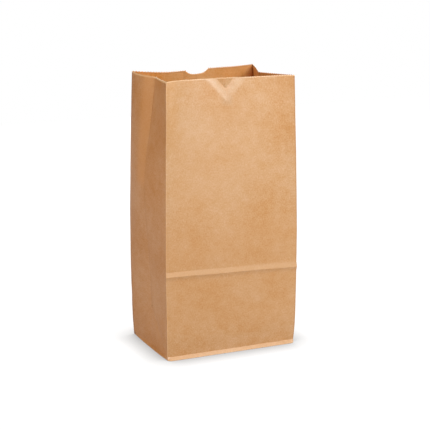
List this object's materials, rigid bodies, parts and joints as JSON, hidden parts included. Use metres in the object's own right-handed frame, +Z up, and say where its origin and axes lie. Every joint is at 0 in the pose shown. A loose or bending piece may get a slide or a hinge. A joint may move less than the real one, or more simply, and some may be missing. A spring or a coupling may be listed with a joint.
{
  "type": "paper lunch bag",
  "caption": "Open brown kraft paper lunch bag with a flat square bottom, side gussets, a saw-toothed rim and a thumb notch.",
  "frame": {"origin": "middle of the bag's underside, on the surface it stands on", "axes": "+Z up the height, X across the front and back panels, Y across the gussets; the plain front panel faces -Y and the back panel with the lap seam and thumb notch faces +Y"},
  "size_m": [0.1666, 0.1072, 0.3109],
  "materials": {
    "kraft_paper": "natural brown kraft, matte with fine fibres"
  },
  "bodies": {
    "root": {"paper_bag": "kraft_paper"}
  },
  "joints": []
}
